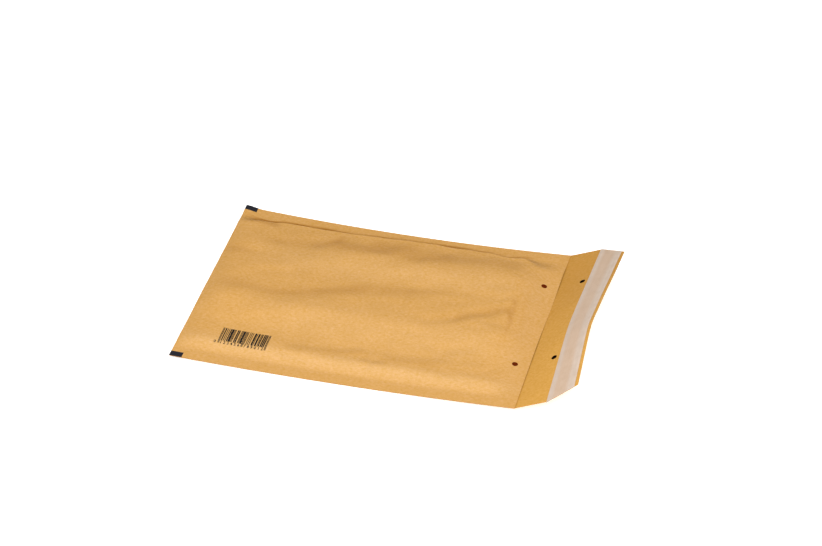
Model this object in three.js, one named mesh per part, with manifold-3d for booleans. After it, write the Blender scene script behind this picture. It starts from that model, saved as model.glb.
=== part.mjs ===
// Padded envelope: a kraft paper mailer lined with bubble film, lying on its back with its flap raised.
// Millimetres, +Z up. The origin is on the surface it lies on, under the middle of the pouch.
// +X points from the bottom fold to the mouth and on along the flap, and Y runs across the pouch.

import * as THREE from 'three';
import { mergeVertices } from 'three/addons/utils/BufferGeometryUtils.js';
import Module from 'manifold-3d';

// Cut size of the mailer: a 225 x 170 pouch that holds 215 x 150
const POUCH_LENGTH = 225;
const POUCH_WIDTH = 170;
const SEAM_WIDTH = 10;
const FLAP_LENGTH = 42.6;
const FLAP_SHOULDER = 23.4;
const FLAP_TAPER = 10.6;

// Materials and the air kept between pieces that touch
const PAPER = 0.2;
const GLUE = 0.2;
const STRIP = 0.2;
const CLEARANCE = 0.3;

// How the pouch lies: its seams bow, so both ends stand a little off the surface
const SEAM_LOW = 1.05;
const SEAM_BOW = 3;
const SIDE_DRAW = 0.4;
const CROWN = 9;
const LEVEL_REACH = 55;
const END_LIFT = 2.2;

// How the panels swell between the seams, the fold and the mouth
const FRONT_SLOPE = 24;
const BACK_SLOPE = 20;
const FOLD_SLOPE = 25;
const FOLD_FULLNESS = 0.25;
const FOLD_NOSE = 1.2;
const MOUTH_SLOPE = 30;
const MOUTH_FULLNESS = 0.24;

// Bubble film: it stops short of the mouth and of the seams, and leaves a thin pocket
const LINER_SETBACK = 18;
const LINER_SIDE_GAP = 4;
const POCKET = 2;
const POCKET_AT_SIDES = 0.3;
const POCKET_SETBACK = 10;
const LINER_NOSE = 1.6;

// Flap: how steeply it leaves the mouth, in degrees, with a soft crest near its middle. It eases
// off by so many degrees for each millimetre away from the crest and along the flap.
const CREST_ANGLE = 34.2;
const CREST_Y = -5;
const CREST_ROUNDING = 12;
const CREST_FALL = 0.14;
const FLAP_EASE = 0.01;

// Glue band and release strip, as distances along the flap from its crease
const STRIP_START = 22.7;
const STRIP_END = 40.2;
const ADHESIVE_INSET = 2;

// Seam glue, set in from the seam's edges
const SEAM_GLUE_INSET = 1;
const SEAM_GLUE_END = 1.8;

// Punched holes, in pairs that meet when the flap is closed
const HOLE_RADIUS = 2;
const HOLE_SPACING = 86;
const HOLE_FROM_MOUTH = 8.8;
const FLAP_HOLE_FROM_CREASE = 18.4;
const HOLE_SIDES = 20;

const FOLD_X = -POUCH_LENGTH / 2;
const MOUTH_X = POUCH_LENGTH / 2;
const SEAM_STACK = 2 * PAPER + 2 * CLEARANCE + GLUE;

// ---- Shape of the pouch ----

const clamp01 = (t) => Math.min(Math.max(t, 0), 1);

// 0 to 1 over a distance, steep at the start and level at the end: a parabola
function roundRise(distance, width) {
  const t = clamp01(distance / width);
  return t * (2 - t);
}

// 0 to 1 over a distance, level at both ends: a cubic
function softRise(distance, width) {
  const t = clamp01(distance / width);
  return t * t * (3 - 2 * t);
}

// Half of the pouch's width: the swelling draws the long sides in a little at the middle
function halfWidth(x) {
  return POUCH_WIDTH / 2 - SIDE_DRAW * (1 - Math.min((x / MOUTH_X) ** 2, 1));
}

// Height of the middle of the flat side seams
function seamHeight(x) {
  return SEAM_LOW + SEAM_BOW * (x / MOUTH_X) ** 2;
}

// How far both ends curve up off the surface
function endLift(x) {
  return END_LIFT * clamp01((Math.abs(x) - LEVEL_REACH) / (MOUTH_X - LEVEL_REACH)) ** 2;
}

// How full the pouch is at a point, from 0 on the seams to 1 over its level middle
function fullness(x, y, slope) {
  const across = roundRise(halfWidth(x) - SEAM_WIDTH - Math.abs(y), slope);
  const nearFold = FOLD_FULLNESS + (1 - FOLD_FULLNESS) * roundRise(x - FOLD_X, FOLD_SLOPE);
  const nearMouth = MOUTH_FULLNESS + (1 - MOUTH_FULLNESS) * softRise(MOUTH_X - x, MOUTH_SLOPE);
  return across * Math.min(nearFold, nearMouth);
}

// Outer face of the front panel
function frontFace(x, y) {
  const seam = seamHeight(x) + SEAM_STACK / 2;
  return seam + fullness(x, y, FRONT_SLOPE) * (CROWN + endLift(x) - seam);
}

// Outer face of the back panel, level at zero under the middle of the pouch
function backFace(x, y) {
  const seam = seamHeight(x) - SEAM_STACK / 2;
  return seam + fullness(x, y, BACK_SLOPE) * (endLift(x) - seam);
}

// Mean steepness of the flap from its crease to a distance along it: it falls off evenly on both
// sides of a rounded crest, and eases off along the flap
function flapAngle(s, y) {
  const away = Math.hypot(y - CREST_Y, CREST_ROUNDING) - CREST_ROUNDING;
  return THREE.MathUtils.degToRad(CREST_ANGLE - CREST_FALL * away - FLAP_EASE * s);
}

// Half of the flap's width at a distance from its crease: straight, then tapered
function flapHalfWidth(s) {
  return POUCH_WIDTH / 2 - FLAP_TAPER * clamp01((s - FLAP_SHOULDER) / (FLAP_LENGTH - FLAP_SHOULDER));
}

// Middle of the flap's paper, at a distance from the crease and a place across
function flapPoint(s, y) {
  const angle = flapAngle(s, y);
  const crease = backFace(MOUTH_X, y) + PAPER / 2;
  return new THREE.Vector3(MOUTH_X + s * Math.cos(angle), y, crease + s * Math.sin(angle));
}

// Direction out of the flap's inner face, from the slopes along and across it
function flapNormal(s, y) {
  const step = 0.5;
  const along = flapPoint(s + step, y).sub(flapPoint(s - step, y));
  const across = flapPoint(s, y + step).sub(flapPoint(s, y - step));
  return along.cross(across).normalize();
}

// ---- Solids from grids ----

// Evenly spaced values from one end to the other, both ends included
function steps(from, to, count) {
  return Array.from({ length: count + 1 }, (_, i) => from + ((to - from) * i) / count);
}

// Rows of several runs joined end to end, each shared end kept once
function joinRuns(...runs) {
  return runs.flatMap((run, i) => (i === 0 ? run : run.slice(1)));
}

// The same places on both sides of the centre line, in order
function bothSides(places) {
  const others = places.slice(1).map((place) => -place).reverse();
  return [...others, ...places];
}

// A closed solid between two grids of points: their faces, and a rim of quads round the edge.
// The first grid is on the side that its rows crossed with its columns point to.
function solidBetween(first, second) {
  const rows = first.length;
  const columns = first[0].length;
  const layer = rows * columns;
  const index = [];
  const quad = (a, b, c, d) => index.push(a, b, c, a, c, d);
  for (let i = 0; i < rows - 1; i += 1) {
    for (let j = 0; j < columns - 1; j += 1) {
      const at = i * columns + j;
      quad(at, at + columns, at + columns + 1, at + 1);
      quad(layer + at, layer + at + 1, layer + at + columns + 1, layer + at + columns);
    }
  }
  for (let i = 0; i < rows - 1; i += 1) {
    const start = i * columns;
    const last = start + columns - 1;
    quad(start, layer + start, layer + start + columns, start + columns);
    quad(last, last + columns, layer + last + columns, layer + last);
  }
  for (let j = 0; j < columns - 1; j += 1) {
    const last = (rows - 1) * columns + j;
    quad(j, j + 1, layer + j + 1, layer + j);
    quad(last, layer + last, layer + last + 1, last + 1);
  }
  const points = [...first.flat(), ...second.flat()];
  const geometry = new THREE.BufferGeometry();
  geometry.setAttribute('position', new THREE.Float32BufferAttribute(points.flatMap((p) => p.toArray()), 3));
  geometry.setIndex(index);
  geometry.computeVertexNormals();
  return geometry;
}

// Moves each point of a grid along the grid's own normal there
function offsetGrid(grid, distance) {
  const lastRow = grid.length - 1;
  const lastColumn = grid[0].length - 1;
  return grid.map((row, i) => row.map((point, j) => {
    const along = grid[Math.min(i + 1, lastRow)][j].clone().sub(grid[Math.max(i - 1, 0)][j]);
    const across = row[Math.min(j + 1, lastColumn)].clone().sub(row[Math.max(j - 1, 0)]);
    return point.clone().addScaledVector(along.cross(across).normalize(), distance);
  }));
}

// A sheet of even thickness about a grid that runs through its middle
function sheetAbout(grid, thickness) {
  return solidBetween(offsetGrid(grid, thickness / 2), offsetGrid(grid, -thickness / 2));
}

// ---- Cutting ----

const manifold = await Module();
manifold.setup();

function toManifold(geometry) {
  const bare = geometry.clone();
  bare.deleteAttribute('normal');
  bare.deleteAttribute('uv');
  const merged = mergeVertices(bare);
  return new manifold.Manifold(new manifold.Mesh({
    numProp: 3,
    vertProperties: merged.attributes.position.array,
    triVerts: new Uint32Array(merged.index.array),
  }));
}

function fromManifold(solid) {
  const mesh = solid.getMesh();
  const geometry = new THREE.BufferGeometry();
  geometry.setAttribute('position', new THREE.BufferAttribute(mesh.vertProperties, mesh.numProp));
  geometry.setIndex(new THREE.BufferAttribute(mesh.triVerts, 1));
  geometry.computeVertexNormals();
  return geometry;
}

// A round punch with its middle at a point and its axis along a direction
function punch(centre, direction, length) {
  const tool = new THREE.CylinderGeometry(HOLE_RADIUS, HOLE_RADIUS, length, HOLE_SIDES);
  const turn = new THREE.Quaternion().setFromUnitVectors(new THREE.Vector3(0, 1, 0), direction);
  return tool.applyQuaternion(turn).translate(centre.x, centre.y, centre.z);
}

// ---- Kraft paper: front panel, bottom fold, back panel and flap in one sheet ----

const PLATEAU_HALF = POUCH_WIDTH / 2 - SEAM_WIDTH - FRONT_SLOPE;
const SEAM_INNER = POUCH_WIDTH / 2 - SEAM_WIDTH;

// Places across the paper, as shares of its half width
const paperColumns = bothSides([
  ...joinRuns(steps(0, PLATEAU_HALF, 3), steps(PLATEAU_HALF, SEAM_INNER, 5)),
  POUCH_WIDTH / 2,
]).map((y) => y / (POUCH_WIDTH / 2));

// Places along a panel, from a start near the mouth to an end near the fold
function panelRows(start, end) {
  return joinRuns(
    steps(start, MOUTH_X - MOUTH_SLOPE, 5),
    steps(MOUTH_X - MOUTH_SLOPE, LEVEL_REACH, 2),
    steps(LEVEL_REACH, -LEVEL_REACH, 4),
    steps(-LEVEL_REACH, FOLD_X + FOLD_SLOPE, 2),
    steps(FOLD_X + FOLD_SLOPE, end, 4),
  );
}

function kraftGrid() {
  const noseX = FOLD_X + PAPER / 2 + FOLD_NOSE;
  const front = (x, y) => frontFace(x, y) - PAPER / 2;
  const back = (x, y) => backFace(x, y) + PAPER / 2;
  const rowAt = (half, point) => paperColumns.map((share) => point(share * half));
  const rows = panelRows(MOUTH_X, noseX);
  const panel = (height) => (x) => rowAt(halfWidth(x), (y) => new THREE.Vector3(x, y, height(x, y)));
  const nose = steps(90, -90, 6).slice(1, -1).map((degrees) => {
    const turn = THREE.MathUtils.degToRad(degrees);
    return rowAt(halfWidth(noseX), (y) => {
      const middle = (front(noseX, y) + back(noseX, y)) / 2;
      const radius = (front(noseX, y) - back(noseX, y)) / 2;
      return new THREE.Vector3(noseX - FOLD_NOSE * Math.cos(turn), y, middle + radius * Math.sin(turn));
    });
  });
  const flap = joinRuns(steps(0, FLAP_SHOULDER, 3), steps(FLAP_SHOULDER, FLAP_LENGTH, 2)).slice(1);
  return [
    ...rows.map(panel(front)),
    ...nose,
    ...rows.slice().reverse().map(panel(back)),
    ...flap.map((s) => rowAt(flapHalfWidth(s), (y) => flapPoint(s, y))),
  ];
}

function makeKraftEnvelope() {
  let paper = toManifold(sheetAbout(kraftGrid(), PAPER));
  const holeX = MOUTH_X - HOLE_FROM_MOUTH;
  for (const side of [-1, 1]) {
    const y = (side * HOLE_SPACING) / 2;
    const onFront = new THREE.Vector3(holeX, y, frontFace(holeX, y));
    const onFlap = flapPoint(FLAP_HOLE_FROM_CREASE, y);
    const frontPunch = punch(onFront, new THREE.Vector3(0, 0, 1), MOUTH_FULLNESS * CROWN);
    const flapPunch = punch(onFlap, flapNormal(FLAP_HOLE_FROM_CREASE, y), 2 * HOLE_RADIUS);
    paper = paper.subtract(toManifold(frontPunch)).subtract(toManifold(flapPunch));
  }
  return fromManifold(paper);
}

// ---- Bubble film: a folded web whose two walls fill the pouch but for a thin pocket ----

function makeBubbleLiner() {
  const skin = PAPER + CLEARANCE;
  const mouthEnd = MOUTH_X - LINER_SETBACK;
  const outerNoseX = FOLD_X + skin + LINER_NOSE;
  const pocketNoseX = FOLD_X + POCKET_SETBACK;
  const side = SEAM_INNER - LINER_SIDE_GAP;
  const columns = bothSides(joinRuns(steps(0, PLATEAU_HALF, 3), steps(PLATEAU_HALF, side, 4)));
  const top = (x, y) => frontFace(x, y) - skin;
  const bottom = (x, y) => backFace(x, y) + skin;
  const middle = (x, y) => (top(x, y) + bottom(x, y)) / 2;
  const halfPocket = (x, y) => {
    return (POCKET_AT_SIDES + (POCKET - POCKET_AT_SIDES) * fullness(x, y, FRONT_SLOPE)) / 2;
  };
  const rowAt = (x, height) => columns.map((y) => new THREE.Vector3(x, y, height(x, y)));
  // A round end at x: half an ellipse between an upper and a lower surface
  const noseRows = (x, reach, upper, lower) => steps(90, -90, 6).slice(1, -1).map((degrees) => {
    const turn = THREE.MathUtils.degToRad(degrees);
    return columns.map((y) => {
      const centre = (upper(x, y) + lower(x, y)) / 2;
      const radius = (upper(x, y) - lower(x, y)) / 2;
      return new THREE.Vector3(x - reach * Math.cos(turn), y, centre + radius * Math.sin(turn));
    });
  });
  const folded = (noseX, reach, upper, lower) => {
    const rows = panelRows(mouthEnd, noseX);
    return [
      ...rows.map((x) => rowAt(x, upper)),
      ...noseRows(noseX, reach, upper, lower),
      ...rows.slice().reverse().map((x) => rowAt(x, lower)),
    ];
  };
  const outer = folded(outerNoseX, LINER_NOSE, top, bottom);
  const inner = folded(
    pocketNoseX,
    POCKET / 2,
    (x, y) => middle(x, y) + halfPocket(x, y),
    (x, y) => middle(x, y) - halfPocket(x, y),
  );
  return solidBetween(inner, outer);
}

// ---- Glue in one side seam, midway between the two panels ----

function makeSeamGlue(side) {
  const rows = steps(FOLD_X + SEAM_GLUE_END, MOUTH_X - SEAM_GLUE_INSET, 12);
  const grid = rows.map((x) => {
    const edges = [halfWidth(x) - SEAM_WIDTH + SEAM_GLUE_INSET, halfWidth(x) - SEAM_GLUE_INSET];
    return edges.map((y) => new THREE.Vector3(x, side * y, seamHeight(x)));
  });
  return sheetAbout(grid, GLUE);
}

// ---- Glue band on the flap, and the release strip over it ----

// A thin band above the flap's inner face, between two distances along the flap
function bandOnFlap(start, end, sideInset, height, thickness) {
  const rows = steps(start, end, 2);
  const shares = steps(-1, 1, 16);
  const grid = rows.map((s) => shares.map((share) => {
    const y = share * (flapHalfWidth(s) - sideInset);
    return flapPoint(s, y).addScaledVector(flapNormal(s, y), height);
  }));
  return sheetAbout(grid, thickness);
}

function makeFlapAdhesive() {
  const height = PAPER / 2 + CLEARANCE + GLUE / 2;
  return bandOnFlap(STRIP_START + ADHESIVE_INSET, STRIP_END - ADHESIVE_INSET, ADHESIVE_INSET, height, GLUE);
}

function makeReleaseStrip() {
  const height = PAPER / 2 + 2 * CLEARANCE + GLUE + STRIP / 2;
  return bandOnFlap(STRIP_START, STRIP_END, 0, height, STRIP);
}

// ---- Assembly ----

const kraft = new THREE.MeshStandardMaterial({ color: 0xd9a860, roughness: 0.85, metalness: 0 });
const film = new THREE.MeshStandardMaterial({ color: 0xe4e8ea, roughness: 0.25, metalness: 0 });
const hotMelt = new THREE.MeshStandardMaterial({ color: 0xe6d9a8, roughness: 0.5, metalness: 0 });
const glassine = new THREE.MeshStandardMaterial({ color: 0xd8beaa, roughness: 0.35, metalness: 0 });

function piece(name, geometry, material) {
  const mesh = new THREE.Mesh(geometry, material);
  mesh.name = name;
  return mesh;
}

const envelope = new THREE.Group();
envelope.add(
  piece('kraft_envelope', makeKraftEnvelope(), kraft),
  piece('bubble_liner', makeBubbleLiner(), film),
  piece('seam_glue_near', makeSeamGlue(-1), hotMelt),
  piece('seam_glue_far', makeSeamGlue(1), hotMelt),
  piece('flap_adhesive', makeFlapAdhesive(), hotMelt),
  piece('release_strip', makeReleaseStrip(), glassine),
);

export default envelope;
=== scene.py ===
"""Padded envelope: a kraft paper mailer lined with bubble film, lying on its back, its flap raised.

Metres and +Z up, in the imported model's own frame. The origin is on the surface that it lies on,
under the middle of the pouch. +X points from the bottom fold to the mouth and on along the flap,
and Y runs across. The script is laid out as an add-on and run as a script.
"""

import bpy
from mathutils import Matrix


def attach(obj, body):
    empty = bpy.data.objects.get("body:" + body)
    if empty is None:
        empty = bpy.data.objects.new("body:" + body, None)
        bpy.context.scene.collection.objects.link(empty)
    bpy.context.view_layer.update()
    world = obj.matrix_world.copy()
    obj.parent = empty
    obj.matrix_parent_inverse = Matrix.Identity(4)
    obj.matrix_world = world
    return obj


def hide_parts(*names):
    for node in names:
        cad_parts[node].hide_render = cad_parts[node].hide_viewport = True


bl_info = {
    "name": "Padded Envelope",
    "version": (1, 0, 0),
    "blender": (4, 5, 0),
    "location": "3D View > Sidebar > Envelope",
    "description": "Builds a bubble-lined kraft envelope round its packed frame",
    "category": "Add Mesh",
}

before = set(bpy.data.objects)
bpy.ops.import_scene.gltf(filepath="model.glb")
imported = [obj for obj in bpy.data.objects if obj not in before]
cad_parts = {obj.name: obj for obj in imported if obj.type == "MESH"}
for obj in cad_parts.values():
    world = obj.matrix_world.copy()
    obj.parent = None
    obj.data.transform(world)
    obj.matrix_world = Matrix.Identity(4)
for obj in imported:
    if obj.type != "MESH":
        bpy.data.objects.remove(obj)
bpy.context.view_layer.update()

import math
from typing import NamedTuple

import bmesh
import bpy
import numpy as np
from mathutils import Matrix, Vector

MM = 0.001

# ---- How the pouch lies, as in the frame ----

# Each seam's middle is a parabola along the pouch: its height half way along, its slant and its bow
SEAM_NEAR = (0.95 * MM, 0.8 * MM, 2.5 * MM)
SEAM_FAR = (1.1 * MM, -0.3 * MM, 3.4 * MM)
SEAM_LEVEL = 1.0 * MM
SIDE_DRAW = 0.2 * MM  # how much the swelling draws each long side in
LEVEL_REACH = 55 * MM
END_LIFT = 2.2 * MM
BACK_SLOPE = 20 * MM
FOLD_SLOPE = 25 * MM
FOLD_FULLNESS = 0.25
FOLD_NOSE = 1.2 * MM
FOLD_ARC = 4 * MM
MOUTH_SLOPE = 30 * MM
# The mouth gapes by a share of the fullness: everywhere, in its far third and in its near half, the
# last two as (share, middle across, reach)
GAPE = 0.035
GAPE_FAR = (0.055, 62 * MM, 20 * MM)
GAPE_NEAR = (0.035, -32 * MM, 34 * MM)
CREASE_LAP = 0.6 * MM
CREASE_SKEW = 1.3 * MM
# The front's cut edge laps over the crease, nearly twice as far round one place across
FRONT_LAP = 0.45 * MM
CLOSE_LAP = 0.405 * MM
CLOSE_Y = 24 * MM
CLOSE_REACH = 24 * MM
FOLD_SKEW = 1.4 * MM
# The far corner at the fold curls up, from these places along and across, over these reaches
CORNER_LIFT = 1.5 * MM
CORNER_FROM = (-100 * MM, 52 * MM)
CORNER_REACH = (12 * MM, 33 * MM)
# Uneven drying: seed, longest and shortest wave, and height
PANEL_COCKLE = (7, 42 * MM, 8 * MM, 0.17 * MM)
FLAP_COCKLE = (11, 60 * MM, 16 * MM, 0.10 * MM)
COCKLE_FADE = 12 * MM

# ---- How the flap stands, in degrees and degrees per metre ----

CREST_ANGLE = 34.2
CREST_Y = 2.4 * MM
CREST_SLANT = 0.51
CREST_ROUNDING = 9 * MM
FALL_NEAR = 0.123 / MM
FALL_FAR = 0.157 / MM
FLAP_CURL = 0.016 / MM
FLAP_TWIST = 0.001 / MM**2

# ---- Layers ----

SEAM_GAP = 0.14 * MM
SEAM_GLUE = 0.1 * MM
FILM = 0.1 * MM
FILM_GAP = 0.9 * MM
FILM_SHARE = 0.25
LAYER_GAP = 0.02 * MM
INK = 0.02 * MM
INK_LIFT = 0.03 * MM
ADHESIVE = 0.08 * MM
RELEASE_PAPER = 0.06 * MM
STRIP_TIP = 1 * MM


# ---- Curves that everything is made from ----


def soft_step(t):
    """0 below 0, 1 above 1, and between them three t squared less two t cubed."""
    t = np.clip(t, 0.0, 1.0)
    return t * t * (3 - 2 * t)


def round_rise(t):
    """0 below 0, 1 above 1, and between them two t less t squared: steep first, then level."""
    t = np.clip(t, 0.0, 1.0)
    return t * (2 - t)


def stretch(x, start, end, fade):
    """1 between start and end, falling softly to 0 over the fade on both sides of each."""
    return soft_step((x - start) / fade + 0.5) * soft_step((end - x) / fade + 0.5)


def bell(x, middle, reach):
    """1 at the middle, falling to 1/e at the reach on both sides: e to minus a square."""
    return np.exp(-(((x - middle) / reach) ** 2))


class Bank(NamedTuple):
    """A soft step across the front panel, in millimetres: the paper rises by so much over the
    width, along a line whose y goes from one value to another between two places along x."""

    y_from: float
    y_to: float
    width: float
    rise: float
    x_from: float = -150
    x_to: float = 150
    fade: float = 30


class Crease(NamedTuple):
    """A small ridge, or a furrow where its height is negative, along a line, in millimetres."""

    x_from: float
    y_from: float
    x_to: float
    y_to: float
    width: float
    height: float


# From the near seam to the far one. The last step, down into the far seam, takes what is left.
BANKS = (
    # Up from the near seam, and the shallow scalloped valley above it
    Bank(-69.5, -69.5, 13, 3.8),
    Bank(-59, -57, 8, -0.9, -44, -13, 12),
    Bank(-57, -51, 9, -0.9, -13, 7, 8),
    Bank(-61, -61, 7, -0.9, 7, 22, 7),
    Bank(-56, -52, 10, -0.9, 22, 62, 14),
    # The long hump
    Bank(-34, -34, 34, 4.6),
    # The slanting valley
    Bank(-9, -13, 18, -1.1, -100, -62, 20),
    Bank(-13, 6, 19, -1.8, -62, -12, 18),
    Bank(7, 13, 20, -1.4, -12, 20, 18),
    Bank(13, 19, 19, -1.0, 20, 48, 20),
    # The second hump
    Bank(32, 32, 28, 2.8, -44, 85, 40),
    # Down towards the far seam, in slanting steps
    Bank(54, 54, 34, -2.6, -98, 98, 24),
    Bank(44, 51, 18, -0.7, -84, -46, 18),
    Bank(49, 62, 16, -0.8, -54, -33, 14),
    Bank(52, 53, 16, -0.9, -37, 2, 16),
    Bank(62, 63, 14, -0.7, -12, 14, 14),
    Bank(47, 57, 19, -0.8, 9, 44, 18),
    Bank(54, 57, 18, -0.6, 44, 88, 16),
    Bank(60, 60, 28, -1.7, 26, 98, 30),
)
# Where the front steps down to the far seam's glued edge, along a line that wanders, as (x, y); painted
# shade darkens a band along it
GROOVE = (
    (-115, 75.5),
    (-93, 72.5),
    (-78, 75),
    (-55, 75.6),
    (-25, 74.6),
    (0, 75.8),
    (42, 76.2),
    (60, 74.6),
    (74, 72),
    (90, 75),
    (115, 75.5),
)
GROOVE_WIDTH = 4.6
# How much wider it gets at the fold and at the mouth, each with its start along x and its reach
GROOVE_AT_FOLD, FOLD_FROM, FOLD_REACH = 7, -90, 20
GROOVE_AT_MOUTH, MOUTH_FROM, MOUTH_REACH = 10, 84, 16
# No crease runs onto the seams: they fade from this place across, over this reach
CREASE_END, CREASE_FADE = 74, 4

CREASES = (
    Crease(36, -16, 58, -8, 9.0, -0.40),
    Crease(54, -10, 88, 9, 9.0, -0.50),
    Crease(50, -18, 90, 1, 9.0, 0.30),
    Crease(70, -8, 92, -10, 5.0, -0.22),
    Crease(92, 18, 93, -28, 3.5, -0.25),
    Crease(96, 62, 97, -66, 5.0, 0.25),
    Crease(-97, 71, -84, 68, 5.0, -0.50),
    Crease(-50, 49, -38, 62, 6.0, -0.25),
    Crease(-30, 69, -20, 56, 5.0, -0.20),
    Crease(-16, 54, 0, 53, 5.0, -0.20),
    Crease(4, 69, -8, 56, 6.0, -0.20),
    Crease(16, 44, 24, 56, 6.0, -0.25),
    Crease(38, 67, 28, 52, 5.0, -0.20),
    Crease(62, 68, 84, 63, 6.0, -0.20),
    Crease(16, -60, 11, -69, 4.0, -0.35),
    Crease(-48, -66, -24, -69, 4.0, -0.25),
    Crease(60, -62, 84, -68, 4.0, -0.25),
    Crease(52, -44, 76, -32, 12.0, -0.60),
    Crease(-112, 34, -86, 30, 9.0, -0.50),
    Crease(-96, 12, -60, 22, 10.0, 0.35),
    Crease(-78, -34, -30, -20, 12.0, 0.40),
    Crease(80, 15, 91, 28, 3.0, -0.35),
    Crease(86, -56, 94, -51, 3.0, -0.35),
    Crease(84, 48, 93, 45, 3.0, -0.35),
    Crease(88, 62, 106, 72, 3.0, -0.20),
)

# Painted shade: a deeper brown in creases and valleys and down slopes turned from the light.
# The height is a strength here, and a negative one is painted highlight, paler
PAINTED_SHADE_AND_HIGHLIGHT = (
    # Down the far slope
    Crease(-84, 46, -52, 48, 12, 0.12),
    Crease(-54, 48, -36, 62, 9, 0.18),
    Crease(-42, 52, 4, 52, 12, 0.24),
    Crease(-16, 61, 16, 61, 12, 0.18),
    Crease(8, 47, 40, 57, 16, 0.22),
    Crease(40, 56, 88, 57, 12, 0.12),
    Crease(-106, 67, -84, 66, 6, 0.30),
    Crease(-42, 57, -38, 66, 4, 0.15),
    # Along the slanting valley
    Crease(-104, -6, -62, -10, 12, 0.12),
    Crease(-66, -11, -10, 8, 12, 0.18),
    Crease(-16, 9, 24, 14, 12, 0.14),
    Crease(20, 14, 46, 20, 10, 0.12),
    # By the mouth
    Crease(34, -15, 62, -6, 9, 0.14),
    Crease(58, -8, 90, 9, 9, 0.20),
    Crease(91, 42, 93, -26, 5, 0.24),
    Crease(97, 44, 98, -10, 4, 0.14),
    Crease(84, 26, 92, 16, 3, 0.14),
    Crease(88, 8, 96, -8, 3, 0.14),
    Crease(95, 66, 106, 70, 7, 0.15),
    # Over the near seam
    Crease(-50, -63, -12, -63, 9, 0.20),
    Crease(-18, -57, 8, -55, 7, 0.20),
    Crease(8, -60, 12, -70, 7, 0.20),
    Crease(20, -59, 58, -57, 11, 0.20),
    # By the fold
    Crease(-112, 33, -86, 30, 10, 0.16),
    # Painted highlight, a paler straw: up the near slope, over both humps and beside the mouth
    Crease(-110, -68, 106, -68, 14, -1.0),
    Crease(-60, -32, 92, -32, 36, -0.45),
    Crease(-80, 31, 96, 33, 24, -0.45),
    Crease(104, -66, 104, 62, 18, -0.35),
)


def along_line(x, line):
    """The y of a line at each x: soft steps between its points."""
    places = np.array(line, float)
    k = np.clip(np.searchsorted(places[:, 0], x) - 1, 0, len(places) - 2)
    share = (x - places[k, 0]) / (places[k + 1, 0] - places[k, 0])
    return places[k, 1] + (places[k + 1, 1] - places[k, 1]) * soft_step(share)


def front_relief(x, y):
    """How high the front panel stands over its seams, over the level middle of the pouch, in
    metres: the sum of the banks, each a soft step across y at its own line, a last step that
    brings the sum back to nothing at the far seam, and the creases."""
    x, y = x / MM, y / MM
    height, total = np.zeros_like(x), np.zeros_like(x)
    for b in BANKS:
        along = soft_step((x - b.x_from) / (b.x_to - b.x_from))
        line = b.y_from + (b.y_to - b.y_from) * along
        rise = b.rise * stretch(x, b.x_from, b.x_to, b.fade)
        height += rise * soft_step((y - line) / b.width + 0.5)
        total += rise
    width = GROOVE_WIDTH + GROOVE_AT_FOLD * soft_step((FOLD_FROM - x) / FOLD_REACH)
    width += GROOVE_AT_MOUTH * soft_step((x - MOUTH_FROM) / MOUTH_REACH)
    height -= total * soft_step((y - along_line(x, GROOVE)) / width + 1)
    inside = soft_step((CREASE_END - np.abs(y)) / CREASE_FADE)
    return (height + inside * sum(across_line(x, y, c) for c in CREASES)) * MM


def across_line(x, y, c):
    """A crease's height: a bell curve across its line, and a soft step at both of its ends."""
    dx, dy = c.x_to - c.x_from, c.y_to - c.y_from
    length = math.hypot(dx, dy)
    along = ((x - c.x_from) * dx + (y - c.y_from) * dy) / length
    across = ((y - c.y_from) * dx - (x - c.x_from) * dy) / length
    return c.height * bell(across, 0, c.width / 2) * stretch(along, 0, length, length / 3)


def shade_and_highlight_tone(x, y):
    """How much painted shade deepens the front's brown, up to 1, and painted highlight makes it
    paler, down to -1: soft bands of painted shade down the wall of the far groove, uneven along
    it, and on over the seam, and the lines of painted shade and highlight."""
    x, y = x / MM, y / MM
    off = y - along_line(x, GROOVE)
    # The line is darker and lighter by turns, and sits a little further out past its first third
    uneven = 0.80 + 0.14 * np.sin(x / 4.1 + 1.3 * np.sin(x / 11))
    out = soft_step((x + 45) / 30)
    line = stretch(off, -3.6 + 2.2 * out, 1.7 + 1.3 * out, 1.6)
    groove = uneven * line * stretch(x, -104, 86, 20)
    seam = 0.04 * soft_step(off / 3)
    painted_lines = np.clip(seam + sum(across_line(x, y, c) for c in PAINTED_SHADE_AND_HIGHLIGHT), -1, 0.5)
    return painted_lines + groove * (1 - painted_lines)


def cockle(x, y, seed, longest, shortest, height, waves=36):
    """Uneven drying of the paper: a sum of sine waves whose lengths, directions and phases are
    drawn from a seeded generator, longer along x than across."""
    draw = np.random.default_rng(seed)
    length = longest * (shortest / longest) ** draw.random(waves)
    turn = draw.normal(0.0, 0.5, waves) + math.pi / 2
    phase = draw.random(waves) * 2 * math.pi
    total = np.zeros_like(x)
    for wave, angle, start in zip(length, turn, phase):
        k = 2 * math.pi / wave
        total += wave / longest * np.sin(k * (x * np.cos(angle) + y * np.sin(angle)) + start)
    return height * total / math.sqrt(waves / 2)


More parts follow.
